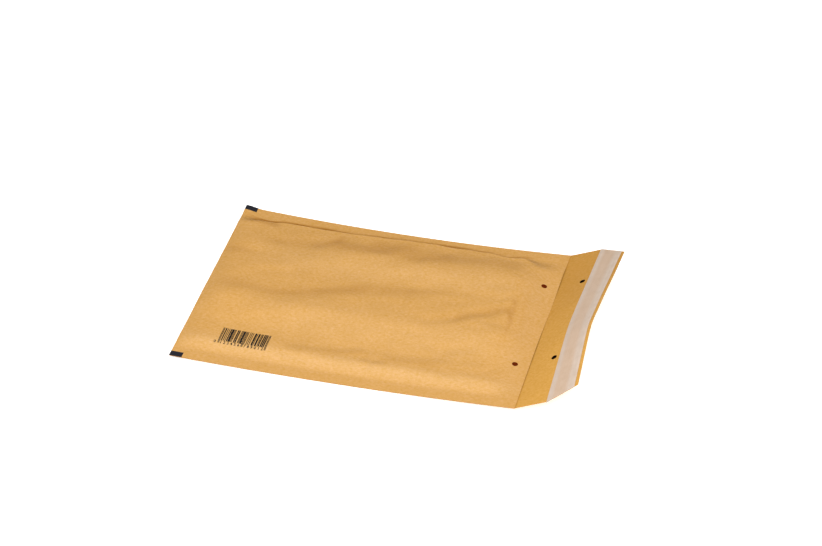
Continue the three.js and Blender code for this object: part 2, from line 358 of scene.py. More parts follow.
class PouchForm:
    """The shape of the lying envelope. Every piece asks it for its points, so they fit."""

    def __init__(self, sizes):
        self.sizes = sizes
        self.fold_x = -sizes.length / 2
        self.mouth_x = sizes.length / 2
        self.nose_x = self.fold_x + sizes.paper / 2 + FOLD_NOSE
        self.panel = self.mouth_x - self.nose_x
        self.fold_end = self.panel + FOLD_ARC
        self.crease = self.fold_end + self.panel
        self.end = self.crease + sizes.flap_length
        self.seam_half = SEAM_GAP / 2 + sizes.paper

    def half_width(self, x):
        """Half of the width, drawn in at the middle by a parabola."""
        return self.sizes.width / 2 - SIDE_DRAW * (1 - np.minimum((x / self.mouth_x) ** 2, 1))

    def seam_height(self, x, y):
        """The middle of the flat side seams, a parabola along each, and in between by the share
        of the width. Two soft steps, along and across, curl one corner up."""
        t = x / self.mouth_x
        near, far = (low + slant * t + bow * t**2 for low, slant, bow in (SEAM_NEAR, SEAM_FAR))
        along = soft_step((CORNER_FROM[0] - x) / CORNER_REACH[0])
        across = soft_step((y - CORNER_FROM[1]) / CORNER_REACH[1])
        return near + (far - near) * self.share_across(y) + CORNER_LIFT * along * across

    def share_across(self, y):
        """0 at the near side of the pouch and 1 at the far side."""
        return np.clip(y / self.sizes.width + 0.5, 0, 1)

    def mouth_edge(self, y):
        """The x of the mouth and the flap's crease, which was folded a little askew: it grows
        with the square of the share across."""
        return self.mouth_x + CREASE_LAP + CREASE_SKEW * self.share_across(y) ** 2

    def front_edge(self, y):
        """The x of the front panel's cut edge, which laps over the crease, most where the front
        lies close against the flap's foot."""
        return self.mouth_edge(y) + FRONT_LAP + CLOSE_LAP * bell(y, CLOSE_Y, CLOSE_REACH)

    def fold_edge(self, y):
        """The x at which the fold begins, which stands out more towards the near side."""
        return self.nose_x - FOLD_SKEW * (1 - self.share_across(y)) ** 2

    def end_lift(self, x):
        """How far the ends curve up: a parabola past the level reach."""
        t = np.clip((np.abs(x) - LEVEL_REACH) / (self.mouth_x - LEVEL_REACH), 0, 1)
        return END_LIFT * t**2

    def ends(self, x, y):
        """How full the pouch is along x: 1 over its middle, less at the fold, and least at the
        mouth, which gapes most in its far third and a little in its near half."""
        fold = FOLD_FULLNESS + (1 - FOLD_FULLNESS) * round_rise((x - self.fold_x) / FOLD_SLOPE)
        gape = GAPE + sum(share * bell(y, *where) for share, *where in (GAPE_FAR, GAPE_NEAR))
        mouth = soft_step((self.mouth_edge(y) - x) / MOUTH_SLOPE)
        return np.minimum(fold, gape + (1 - gape) * mouth)

    def front(self, x, y):
        """Outer face of the front panel: the seam's top, and on it the relief, scaled by the
        fullness along x and by the room between the seam and the crown."""
        seam = self.seam_height(x, y) + self.seam_half
        level = SEAM_LEVEL + self.seam_half
        room = (self.sizes.crown + self.end_lift(x) - seam) / (self.sizes.crown - level)
        inside = soft_step((self.sizes.width / 2 - self.sizes.seam - np.abs(y)) / COCKLE_FADE)
        waves = inside * cockle(x, y, *PANEL_COCKLE)
        return seam + self.ends(x, y) * (room * front_relief(x, y) + waves)

    def back(self, x, y):
        """Outer face of the back panel: the seam's underside, let down to the surface by a
        rounded slope inside each seam."""
        seam = self.seam_height(x, y) - self.seam_half
        inside = self.sizes.width / 2 - self.sizes.seam - np.abs(y)
        return seam + round_rise(inside / BACK_SLOPE) * self.ends(x, y) * (self.end_lift(x) - seam)

    def flap_half_width(self, s):
        """Half of the flap's width: straight up to its shoulder, then tapered."""
        past = (s - self.sizes.flap_shoulder) / (self.sizes.flap_length - self.sizes.flap_shoulder)
        return self.sizes.width / 2 - self.sizes.flap_taper * np.clip(past, 0, 1)

    def flap(self, s, y):
        """Middle of the flap's paper: a straight run up from the crease, whose angle falls off
        on both sides of a rounded crest. The crest slants along the flap, and the flap curls
        and twists a little with the distance from the crease."""
        off = y - CREST_Y + CREST_SLANT * s
        away = np.hypot(off, CREST_ROUNDING) - CREST_ROUNDING
        fall = np.where(off > 0, FALL_FAR, FALL_NEAR) * away
        angle = np.radians(CREST_ANGLE - fall + (FLAP_CURL + FLAP_TWIST * y) * s)
        edge = self.mouth_edge(y)
        z = self.back(edge, y) + self.sizes.paper / 2
        waves = cockle(s, y, *FLAP_COCKLE) * soft_step(s / (8 * MM))
        return np.stack([edge + s * np.cos(angle), y, z + s * np.sin(angle) + waves], -1)

    def flap_inward(self, s, y):
        """Direction out of the flap's inner face: its slope along, crossed with its slope across."""
        step = 0.5 * MM
        along = self.flap(s + step, y) - self.flap(s - step, y)
        across = self.flap(s, y + step) - self.flap(s, y - step)
        normal = np.cross(along, across)
        return normal / np.linalg.norm(normal, axis=-1, keepdims=True)

    def place(self, run):
        """The x of a distance along the sheet, up to the crease."""
        x = np.where(run < self.panel, self.mouth_x - run, self.nose_x + run - self.fold_end)
        return np.maximum(x, self.nose_x)

    def half_at(self, run):
        """Half of the sheet's width at a distance along it."""
        x = self.place(run)
        return np.where(run > self.crease, self.flap_half_width(run - self.crease), self.half_width(x))

    def sheet(self, run, y, depth):
        """A point at a depth under the outer face of the one sheet that the envelope is folded
        from. The run is measured along it: the front panel from the mouth to the fold, half an
        ellipse round the fold, the back panel from the fold to the crease, then the flap."""
        run, y, depth = np.broadcast_arrays(run, y, depth)
        half = self.sizes.paper / 2
        nose = self.fold_edge(y)
        x_front = nose + (self.front_edge(y) - nose) * np.clip(1 - run / self.panel, 0, 1)
        x_back = nose + (self.mouth_edge(y) - nose) * np.clip((run - self.fold_end) / self.panel, 0, 1)
        top = np.stack([x_front, y, self.front(x_front, y) - depth], -1)
        under = np.stack([x_back, y, self.back(x_back, y) + depth], -1)
        high, low = self.front(nose, y) - depth, self.back(nose, y) + depth
        turn = math.pi / 2 - math.pi * np.clip((run - self.panel) / FOLD_ARC, 0, 1)
        nose_reach = FOLD_NOSE + half - depth
        fold = np.stack(
            [nose - nose_reach * np.cos(turn), y, (high + low) / 2 + (high - low) / 2 * np.sin(turn)], -1
        )
        s = np.maximum(run - self.crease, 0)
        flap = self.flap(s, y) + self.flap_inward(s, y) * (depth - half)[..., None]
        part = np.digitize(run, [self.panel, self.fold_end, self.crease])[..., None]
        return np.select([part == 0, part == 1, part == 2], [top, fold, under], flap)

    def on_front(self, x, y, depth):
        """A point on the front panel, by its place along the pouch."""
        edge = self.front_edge(y)
        return self.sheet(self.panel * (edge - x) / (edge - self.fold_edge(y)), y, depth)


# ---- Meshes from arrays ----


def grid_faces(rows, columns, start=0):
    """Four corners for each cell of a grid whose points are numbered row by row."""
    at = start + np.arange(rows * columns).reshape(rows, columns)
    cells = [at[:-1, :-1], at[:-1, 1:], at[1:, 1:], at[1:, :-1]]
    return np.stack([c.ravel() for c in cells], -1)


def face_normals(points, quads):
    """Cross product of a four-sided face's diagonals."""
    a, b, c, d = (points[quads[:, k]] for k in range(4))
    return np.cross(c - a, d - b)


def point_normals(points, quads):
    """Mean of the normals of the faces round each point, scaled to length one."""
    normals = np.zeros_like(points)
    faces = face_normals(points, quads)
    for corner in range(4):
        np.add.at(normals, quads[:, corner], faces)
    return normals / np.linalg.norm(normals, axis=1, keepdims=True)


def open_edges(quads):
    """Edges with a face on one side only, in the direction that their face runs."""
    edges = np.concatenate([quads[:, [k, (k + 1) % 4]] for k in range(4)])
    key = np.sort(edges, axis=1)
    _, first, count = np.unique(key, axis=0, return_index=True, return_counts=True)
    return edges[first[count == 1]]


def thicken(points, quads, out, into):
    """A closed sheet from an open one: its points moved out and in along their normals, the inner
    faces turned round, and a rim of faces along every open edge."""
    normals = point_normals(points, quads)
    rim = open_edges(quads)
    n = len(points)
    sides = np.stack([rim[:, 1], rim[:, 0], rim[:, 0] + n, rim[:, 1] + n], -1)
    both = np.concatenate([points + normals * out, points - normals * into])
    return both, [quads, quads[:, ::-1] + n, sides]


def make_piece(name, points, groups, uv=None, marks=None, tone=None, sharp=40):
    """A mesh object from points and groups of faces, each group an array with one row of corners
    a face. A mark is a number for each group, kept as the faces' material slot, and a tone is a
    number for each point, kept as an attribute."""
    mesh = bpy.data.meshes.new(name)
    corners = np.concatenate([g.ravel() for g in groups]).astype(np.int32)
    sizes = np.concatenate([np.full(len(g), g.shape[1]) for g in groups])
    starts = np.concatenate([[0], np.cumsum(sizes)[:-1]]).astype(np.int32)
    mesh.vertices.add(len(points))
    mesh.vertices.foreach_set("co", points.astype(np.float32).ravel())
    mesh.loops.add(len(corners))
    mesh.loops.foreach_set("vertex_index", corners)
    mesh.polygons.add(len(sizes))
    mesh.polygons.foreach_set("loop_start", starts)
    mesh.polygons.foreach_set("use_smooth", np.ones(len(sizes), bool))
    if marks is not None:
        slots = np.concatenate([np.full(len(g), m) for g, m in zip(groups, marks)])
        mesh.polygons.foreach_set("material_index", slots.astype(np.int32))
    mesh.update(calc_edges=True)
    if uv is not None:
        layer = mesh.uv_layers.new(name="sheet")
        layer.data.foreach_set("uv", uv[corners].astype(np.float32).ravel())
    if tone is not None:
        layer = mesh.attributes.new("tone", "FLOAT", "POINT")
        layer.data.foreach_set("value", tone.astype(np.float32))
    if mesh.validate():
        raise ValueError(f"{name}: the mesh had faults")
    mesh.set_sharp_from_angle(angle=math.radians(sharp))
    piece = bpy.data.objects.new(name, mesh)
    bpy.context.scene.collection.objects.link(piece)
    return piece


def finish_piece(piece, slot, materials, *nodes):
    """Gives a piece its materials, hangs it under the root while keeping its place in the frame, and hides
    the model's parts that it stands for.
    """
    for material in materials:
        piece.data.materials.append(material)
    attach(piece, "root")
    if nodes:
        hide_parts(*nodes)
    return piece


# ---- Materials ----


def linear(colour):
    """Linear red, green and blue from an sRGB hex value."""
    channels = [int(colour[k : k + 2], 16) / 255 for k in (0, 2, 4)]
    return tuple(c / 12.92 if c <= 0.04045 else ((c + 0.055) / 1.055) ** 2.4 for c in channels)


def rgba(colour, gain=1.0):
    """A linear colour with its alpha, made lighter or darker by a gain."""
    return tinted(colour, (gain, gain, gain))


def tinted(colour, gains):
    """A linear colour with its alpha, each channel multiplied by its own gain."""
    return (*(min(c * g, 1.0) for c, g in zip(colour, gains)), 1.0)


# Settings of a mix node: of numbers, of colours, and of colours that multiply
NUMBERS = {"data_type": "FLOAT"}
BLEND = {"data_type": "RGBA"}
MULTIPLY = {"data_type": "RGBA", "blend_type": "MULTIPLY"}


def new_material(name):
    """An empty node material with its shader and output, and a function that adds a node to it
    with its settings and its links or values, given by socket."""
    material = bpy.data.materials.new(name)
    material.use_nodes = True
    tree = material.node_tree
    tree.nodes.clear()

    def add(kind, settings=None, **sockets):
        node = tree.nodes.new(kind)
        for key, value in (settings or {}).items():
            setattr(node, key, value)
        for key, value in sockets.items():
            socket = node.inputs[int(key[1:]) if key[1:].isdigit() else key]
            if isinstance(value, bpy.types.NodeSocket):
                tree.links.new(value, socket)
            else:
                socket.default_value = value
        return node

    shader = add("ShaderNodeBsdfPrincipled")
    out = add("ShaderNodeOutputMaterial")
    tree.links.new(shader.outputs[0], out.inputs[0])
    return material, shader, add, tree.links.new


def ramp(add, factor, stops):
    """A colour ramp with the given places and colours."""
    node = add("ShaderNodeValToRGB", i0=factor)
    elements = node.color_ramp.elements
    while len(elements) < len(stops):
        elements.new(0.5)
    for element, (place, colour) in zip(elements, stops):
        element.position = place
        element.color = colour
    return node.outputs[0]


def kraft_material(name, colour, crease, straw):
    """Machine-glazed kraft paper: unbleached long fibres, pressed smooth on one side. It gives
    a warm brown with a fine fleck, faint streaks along the web, slow clouds of tone, a trace of
    tooth and a low broad sheen. Painted shade makes it a deeper brown in creases and on slopes
    turned from the light, and painted highlight a paler straw on slopes turned to the light."""
    material, shader, add, link = new_material(name)
    coordinates = add("ShaderNodeTexCoord").outputs["UV"]
    unit = SHEET_UV
    # Flocks of fibres, 2 mm across, and single fibres, 0.5 mm wide and 3 mm long, drawn
    # coarser than the real 0.03 mm so that they show
    stretched = add("ShaderNodeMapping", i0=coordinates, Scale=(unit / (3 * MM), unit / (0.5 * MM), 1))
    noise = "ShaderNodeTexNoise"
    flocks = add(noise, i0=coordinates, Scale=unit / (2 * MM), Detail=4.0, Roughness=0.65)
    fibres = add(noise, i0=stretched.outputs[0], Scale=1.0, Detail=2.0, Roughness=0.5)
    clouds = add(noise, i0=coordinates, Scale=unit / (14 * MM), Detail=4.0, Roughness=0.62)
    tone = add("ShaderNodeMix", NUMBERS, i0=0.45, i2=flocks.outputs[0], i3=fibres.outputs[0])
    # A darker fleck is also a deeper brown, and a lighter one a paler straw
    light, dark = tinted(colour, (1.10, 1.13, 1.42)), tinted(colour, (0.91, 0.87, 0.60))
    fleck = ramp(add, tone.outputs[0], [(0.35, dark), (0.65, light)])
    cloud = ramp(add, clouds.outputs[0], [(0.3, (0.96, 0.945, 0.87, 1)), (0.7, (1, 1, 1, 1))])
    clouded = add("ShaderNodeMix", MULTIPLY, i0=1.0, i6=fleck, i7=cloud).outputs[2]
    # The tone attribute is painted shade where it is positive, mixed in as the crease colour, and painted
    # highlight where it is negative, mixed in as the straw colour
    pressed = add("ShaderNodeAttribute", {"attribute_name": "tone"}).outputs["Fac"]
    shaded = add("ShaderNodeMix", BLEND, i0=pressed, i6=clouded, i7=rgba(crease)).outputs[2]
    highlight_amount = add("ShaderNodeMath", {"operation": "MULTIPLY"}, i0=pressed, i1=-1.0).outputs[0]
    paler = (*(s / c for s, c in zip(straw, colour)), 1)
    highlight_gains = add("ShaderNodeMix", BLEND, i0=highlight_amount, i6=(1, 1, 1, 1), i7=paler).outputs[2]
    painted_highlight = add("ShaderNodeMix", MULTIPLY, i0=1.0, i6=shaded, i7=highlight_gains).outputs[2]
    bump = add("ShaderNodeBump", Strength=0.25, Distance=0.05 * MM, Height=tone.outputs[0])
    link(painted_highlight, shader.inputs["Base Color"])
    link(bump.outputs[0], shader.inputs["Normal"])
    shader.inputs["Roughness"].default_value = 0.55
    shader.inputs["IOR"].default_value = 1.5
    shader.inputs["Specular IOR Level"].default_value = 0.05
    return material


def release_material(colours):
    """Silicone-coated glassine: thin and half clear, so the glue band under it shows through
    pinkish, with whiter borders where there is none, drawn lines along it and a low sheen."""
    material, shader, add, link = new_material("silicone_coated_glassine")
    coordinates = add("ShaderNodeTexCoord").outputs["UV"]
    split = add("ShaderNodeSeparateXYZ", i0=coordinates)
    across = split.outputs[1]
    bands = ramp(
        add,
        across,
        [
            (0.0, rgba(colours.strip_border, 1.06)),
            (0.03, rgba(colours.strip_border)),
            (0.13, rgba(colours.strip_border)),
            (0.26, rgba(colours.strip)),
            (0.62, rgba(colours.strip)),
            (0.76, rgba(colours.strip_border, 1.02)),
            (0.90, rgba(colours.strip_border)),
            (0.94, rgba(colours.strip_border, 1.08)),
        ],
    )
    # Streaks 0.8 mm wide that run the length of the strip
    lines = add("ShaderNodeMapping", i0=coordinates, Scale=(1.5, 24.0, 1.0))
    streak = add("ShaderNodeTexNoise", i0=lines.outputs[0], Scale=1.0, Detail=2.0, Roughness=0.6)
    blotch = add("ShaderNodeMapping", i0=coordinates, Scale=(28.0, 3.5, 1.0))
    blot = add("ShaderNodeTexNoise", i0=blotch.outputs[0], Scale=1.0, Detail=2.0, Roughness=0.55)
    tone = add("ShaderNodeMix", NUMBERS, i0=0.5, i2=streak.outputs[0], i3=blot.outputs[0])
    shade = ramp(add, tone.outputs[0], [(0.32, (0.88, 0.85, 0.81, 1)), (0.66, (1, 1, 1, 1))])
    mixed = add("ShaderNodeMix", MULTIPLY, i0=1.0, i6=bands, i7=shade)
    link(mixed.outputs[2], shader.inputs["Base Color"])
    shader.inputs["Roughness"].default_value = 0.38
    shader.inputs["IOR"].default_value = 1.47
    return material


def mottled(name, spot, detail, grain, tones, values):
    """A node material whose colour wanders between two tones, in spots of a given size. Grain is
    the roughness of the noise, and values are the shader's own, by input."""
    material, shader, add, link = new_material(name)
    coordinates = add("ShaderNodeTexCoord").outputs["Object"]
    noise = add("ShaderNodeTexNoise", i0=coordinates, Scale=1 / spot, Detail=detail, Roughness=grain)
    link(ramp(add, noise.outputs[0], tones), shader.inputs["Base Color"])
    for key, value in values.items():
        shader.inputs[key].default_value = value
    return material, shader, add, link, noise


def film_material(colours):
    """Low-density polyethylene bubble film: blown clear film with a milky cast, glossy on its
    bubbles, so it gives soft bright rings and lets the brown of the paper through."""
    tones = [(0.3, rgba(colours.film, 0.94)), (0.7, rgba(colours.film))]
    values = {"Roughness": 0.22, "IOR": 1.51, "Transmission Weight": 0.55}
    return mottled("ldpe_bubble_film", 6 * MM, 2.0, 0.5, tones, values)[0]


def glue_material(name, colour, roughness):
    """Hot-melt pressure-sensitive glue: an amber film rolled on warm, so it gives a slightly
    uneven tone and a soft gloss."""
    tones = [(0.3, rgba(colour, 0.85)), (0.7, rgba(colour, 1.05))]
    values = {"Roughness": roughness, "IOR": 1.48}
    material, shader, add, link, uneven = mottled(name, 4 * MM, 2.0, 0.5, tones, values)
    bump = add("ShaderNodeBump", Strength=0.3, Distance=0.03 * MM, Height=uneven.outputs[0])
    link(bump.outputs[0], shader.inputs["Normal"])
    return material


def ink_material(name, colour):
    """Water-based flexographic ink: a thin dark coat from a rubber plate, mottled where the
    paper's fibres took less of it, with a dull surface."""
    tones = [(0.3, rgba(colour, 0.8)), (0.75, rgba(colour, 1.3))]
    values = {"Roughness": 0.6, "IOR": 1.5, "Specular IOR Level": 0.3}
    return mottled(name, 0.8 * MM, 3.0, 0.6, tones, values)[0]


def shade_disc_material(name, colour):
    """Painted shade for the holes: dull and deep, with a trace of warm mottle, in the colour of the shade
    seen through them.
    """
    tones = [(0.3, rgba(colour, 0.8)), (0.7, rgba(colour, 1.2))]
    values = {"Roughness": 0.9, "Specular IOR Level": 0.0}
    return mottled(name, 0.6 * MM, 2.0, 0.5, tones, values)[0]


def floor_material(colours):
    """Opal acrylic sheet, lit softly from below: even and dull, with hardly any contact shade."""
    tones = [(0.3, rgba(colours.floor, 0.99)), (0.7, rgba(colours.floor))]
    glow = {"Emission Color": (1, 1, 1, 1), "Emission Strength": 0.4}
    values = {"Roughness": 0.9, "Specular IOR Level": 0.0, **glow}
    return mottled("opal_acrylic", 40 * MM, 2.0, 0.5, tones, values)[0]


# ---- Pieces ----

SHEET_UV = 0.5  # metres of paper to one unit of its UV map
HOLE_BLOCK = 3  # grid cells on each side of a hole's middle that its rings take the place of
HOLE_RINGS = 3
# Dark discs in the holes, painted shade for what is seen through them: past the rim, half as thick, in
# rings by a share of the radius
DISC_LAP = 0.15 * MM
DISC_HALF = 0.02 * MM
DISC_RINGS = (1.0, 0.7, 0.4, 0.1)
DISC_CORNERS = 24


def joined(*runs):
    """Evenly spaced values through (start, end, count) runs that meet, each meeting kept once."""
    parts = [np.linspace(start, end, count + 1) for start, end, count in runs]
    return np.concatenate([parts[0], *(part[1:] for part in parts[1:])])


def ring_round(rows, columns, row, column):
    """Numbers of the grid points round a square block, in the order that its cells run."""
    at = np.arange(rows * columns).reshape(rows, columns)
    block = at[row - HOLE_BLOCK : row + HOLE_BLOCK + 1, column - HOLE_BLOCK : column + HOLE_BLOCK + 1]
    return np.concatenate([block[0, :-1], block[:-1, -1], block[-1, :0:-1], block[:0:-1, 0]])


def kraft_sheet(form):
    """The whole sheet as a grid over its run and its width, with a square block of cells taken
    out round each hole. Rings that go from the block's outline to a circle fill it, each point
    sliding in a straight line to the circle's point in the same direction."""
    sizes = form.sizes
    hole_front = sizes.hole_inset
    hole_flap = form.crease + sizes.flap_hole
    bend = 0.5 * MM
    run = joined(
        (0, hole_front, 6),
        (hole_front, form.panel, 176),
        (form.panel, form.fold_end, 10),
        (form.fold_end, form.crease - bend, 48),
        (form.crease - bend, form.crease + bend, 3),
        (form.crease + bend, hole_flap, 14),
        (hole_flap, form.crease + sizes.flap_shoulder, 2),
        (form.crease + sizes.flap_shoulder, form.end, 13),
    )
    half = sizes.width / 2
    hole_y = sizes.hole_spacing / 2
    seam_y = half - sizes.seam
    side = joined(
        (0, hole_y, 28),
        (hole_y, seam_y - 8 * MM, 15),
        (seam_y - 8 * MM, seam_y + 1 * MM, 15),
        (seam_y + 1 * MM, half, 6),
    )
    share = np.concatenate([-side[:0:-1], side]) / half
    rows, columns = len(run), len(share)
    run_grid = np.repeat(run[:, None], columns, 1)
    y_grid = share[None, :] * form.half_at(run)[:, None]
    flat = [np.stack([run_grid.ravel(), y_grid.ravel()], -1)]
    keep = np.ones((rows - 1, columns - 1), bool)
    rings = []
    count = rows * columns
    for place, shift in ((hole_front, sizes.hole_shift), (hole_flap, sizes.flap_hole_shift)):
        for y in (shift - hole_y, shift + hole_y):
            row = int(np.argmin(np.abs(run - place)))
            column = int(np.argmin(np.abs(share * half - y)))
            keep[row - HOLE_BLOCK : row + HOLE_BLOCK, column - HOLE_BLOCK : column + HOLE_BLOCK] = False
            outline = ring_round(rows, columns, row, column)
            start = flat[0][outline]
            away = start - [place, y]
            circle = [place, y] + sizes.hole_radius * away / np.linalg.norm(away, axis=1, keepdims=True)
            last = outline
            for ring in range(1, HOLE_RINGS + 1):
                flat.append(start + (circle - start) * ring / HOLE_RINGS)
                now = count + np.arange(len(outline))
                count += len(outline)
                rings.append(np.stack([last, np.roll(last, -1), np.roll(now, -1), now], -1))
                last = now
    quads = np.concatenate([grid_faces(rows, columns)[keep.ravel()], *rings])
    flat = np.concatenate(flat)
    used = np.unique(quads)
    renumber = np.full(len(flat), -1)
    renumber[used] = np.arange(len(used))
    flat, quads = flat[used], renumber[quads]
    points = form.sheet(flat[:, 0], flat[:, 1], sizes.paper / 2)
    front = flat[:, 0] < form.panel
    # Painted shade and painted highlight on the front panel's outer face
    tone = np.where(front, shade_and_highlight_tone(points[:, 0], points[:, 1]), 0)
    # Painted shade on the inner side: deep brown inside the pouch, a dark line at the flap's foot
    # that is faint for a stretch, and a deeper tone towards the flap's far end
    foot = bell(flat[:, 0], form.crease, 0.7 * MM)
    faint = bell(flat[:, 1], 22 * MM, 18 * MM)
    far = 0.25 * soft_step((flat[:, 1] + 15 * MM) / (75 * MM))
    inner_painted_shade = np.maximum((0.9 - 0.8 * faint) * foot, far)
    inner_painted_shade[flat[:, 0] < form.crease - 1 * MM] = 1
    points, groups = thicken(points, quads, sizes.paper / 2, sizes.paper / 2)
    return points, groups, np.tile(flat / SHEET_UV, (2, 1)), np.concatenate([tone, inner_painted_shade])


def ring_walls(at):
    """Faces between neighbouring rings, from the numbers of the points: shape, ring, corner."""
    ahead = np.roll(at, -1, axis=2)
    return np.stack([at[:, :-1], ahead[:, :-1], ahead[:, 1:], at[:, 1:]], -1).reshape(-1, 4)


def hole_discs(form, place, shift):
    """Thin closed discs inside a pair of holes, a little wider than they are, that paint the shade
    seen through them: rings of points round each middle, closed by a small innermost face. The
    pair's place is along the sheet, and its shift is off the middle of the width."""
    sizes = form.sizes
    turn = np.arange(DISC_CORNERS) * 2 * math.pi / DISC_CORNERS
    radius = (sizes.hole_radius + DISC_LAP) * np.array(DISC_RINGS)
    middle = shift + sizes.hole_spacing * np.array([-0.5, 0.5])
    run = place + radius[:, None] * np.cos(turn)
    y = middle[:, None, None] + radius[:, None] * np.sin(turn)
    points = form.sheet(run, y, sizes.paper / 2).reshape(-1, 3)
    at = np.arange(len(points)).reshape(2, len(radius), len(turn))
    walls = ring_walls(at)
    first, last = at[:, 0], at[:, -1]
    ahead = np.roll(first, -1, axis=1)
    n = len(points)
    out = point_normals(points, walls) * DISC_HALF
    rim = np.stack([ahead, first, first + n, ahead + n], -1).reshape(-1, 4)
    both = np.concatenate([points + out, points - out])
    return both, [walls, last, walls[:, ::-1] + n, last[:, ::-1] + n, rim]


def band(form, run, edges, depth, out, into, columns=2):
    """A thin closed strip on the sheet: a grid over its run, between two edges given as a y for
    each place along it."""
    share = np.linspace(0, 1, columns)
    low, high = (np.broadcast_to(e, run.shape)[:, None] for e in edges)
    y = low + (high - low) * share
    points = form.sheet(run[:, None], y, depth).reshape(-1, 3)
    return thicken(points, grid_faces(len(run), columns), out, into)


def under_film(form, run, y):
    """Depth of the film's inner side under the paper's outer face: past the paper and the film,
    and past a gap that is a share of the pouch's thickness there, up to a limit."""
    run, y = np.broadcast_arrays(run, y)
    x = form.place(run)
    gap = np.clip(FILM_SHARE * (form.front(x, y) - form.back(x, y)), LAYER_GAP, FILM_GAP)
    return form.sizes.paper + gap + FILM


def bubble_film(form):
    """The liner: a flat film that follows the inside of the paper from one side of the mouth
    round the fold to the other, and on it bubbles in a close-packed pattern. A bubble is a
    profile of rings round its middle, and is pressed flat where its half of the pocket is
    thinner than it is high."""
    sizes = form.sizes
    start, end = sizes.liner_setback, form.crease - sizes.liner_setback
    half = sizes.width / 2 - sizes.seam - 3 * MM
    run = joined((start, form.panel, 140), (form.panel, form.fold_end, 8), (form.fold_end, end, 60))
    columns = 100
    depth = under_film(form, run[:, None], np.linspace(-half, half, columns)) - FILM / 2
    edges = np.full(len(run), -half), np.full(len(run), half)
    points, groups = band(form, run, edges, depth, FILM / 2, FILM / 2, columns)
    radius, pitch = sizes.bubble_diameter / 2, sizes.bubble_pitch
    row_step = pitch * math.sqrt(3) / 2
    places = []
    for first, last, turn in ((start, form.panel - radius, 1), (end, form.fold_end + radius, -1)):
        for k in range(int((abs(last - first) - 2 * radius) / row_step) + 1):
            reach = half - radius - 0.5 * MM
            across = np.arange(-reach + (k % 2) * pitch / 2, reach, pitch)
            along = np.full(len(across), first + turn * (radius + k * row_step))
            places.append(np.stack([along, across], -1))
    places = np.concatenate(places)
    # Rings of a bubble, as shares of its radius and of its height
    profile = np.array([(1.0, 0.0), (0.97, 0.42), (0.86, 0.76), (0.62, 0.95), (0.30, 1.0)])
    segments = 12
    turn = np.arange(segments) * 2 * math.pi / segments
    out = profile[:, 0][None, :, None] * radius
    r = places[:, 0][:, None, None] + out * np.cos(turn)
    y = places[:, 1][:, None, None] + out * np.sin(turn)
    base = under_film(form, r, y)
    x = form.place(r)
    room = (form.front(x, y) - form.back(x, y)) / 2 - base - 0.25 * MM
    high = np.clip(profile[:, 1][None, :, None] * sizes.bubble_height, 0.02 * MM, None)
    high = np.minimum(high, np.maximum(room, 0.05 * MM) * (0.3 + 0.7 * profile[:, 1][None, :, None]))
    domes = form.sheet(r, y, base + high)
    at = len(points) + np.arange(domes.size // 3).reshape(len(places), len(profile), segments)
    caps = np.concatenate([at[:, -1], at[:, 0, ::-1]])
    # The film's inner side is down on the front wall and up on the back one, so the order of the
    # corners that points outwards is the same on both
    return np.concatenate([points, domes.reshape(-1, 3)]), [*groups, ring_walls(at), caps]


NUMBER = "0123456789012"
# Bars of each digit in a retail code, on the left of its middle; the right has the opposite
DIGIT_BARS = (
    *("0001101", "0011001", "0010011", "0111101", "0100011"),
    *("0110001", "0101111", "0111011", "0110111", "0001011"),
)
GUARD, MIDDLE = "101", "01010"
INK_SPREAD = 0.15  # of a module, on each side of a bar


def code_bars(number):
    """(start, width, is a guard) of each bar, in modules. The first digit is not drawn."""
    left = "".join(DIGIT_BARS[int(d)] for d in number[1:7])
    right = "".join(DIGIT_BARS[int(d)] for d in number[7:]).translate(str.maketrans("01", "10"))
    line = GUARD + left + MIDDLE + right + GUARD
    guards = [*range(3), *range(45, 50), *range(92, 95)]
    bars, start = [], None
    for k, mark in enumerate(line + "0"):
        if mark == "1" and start is None:
            start = k
        elif mark == "0" and start is not None:
            bars.append((start, k - start, start in guards))
            start = None
    return bars


def draped_bars(form, bars, module, x_left, y_top, height, guard_extra):
    """Thin closed strips on the front panel, one for each bar, a little fatter than its modules
    because the ink spreads: a grid of a few places down by two across, all at once."""
    start, width, guard = (np.array(v, float) for v in zip(*bars))
    down = np.linspace(0, 1, 9)
    y = y_top - down[None, :, None] * (height + guard * guard_extra)[:, None, None]
    fat = (width + 2 * INK_SPREAD)[:, None, None]
    x = x_left + module * (start[:, None, None] - INK_SPREAD + fat * np.array([0.0, 1.0]))
    x, y = np.broadcast_arrays(x, y)
    points = form.on_front(x, y, -INK_LIFT).reshape(-1, 3)
    one = grid_faces(len(down), 2)
    quads = (one[None] + (np.arange(len(bars)) * len(down) * 2)[:, None, None]).reshape(-1, 4)
    return thicken(points, quads[:, ::-1] if face_normals(points, quads)[0, 2] < 0 else quads, INK, 0)


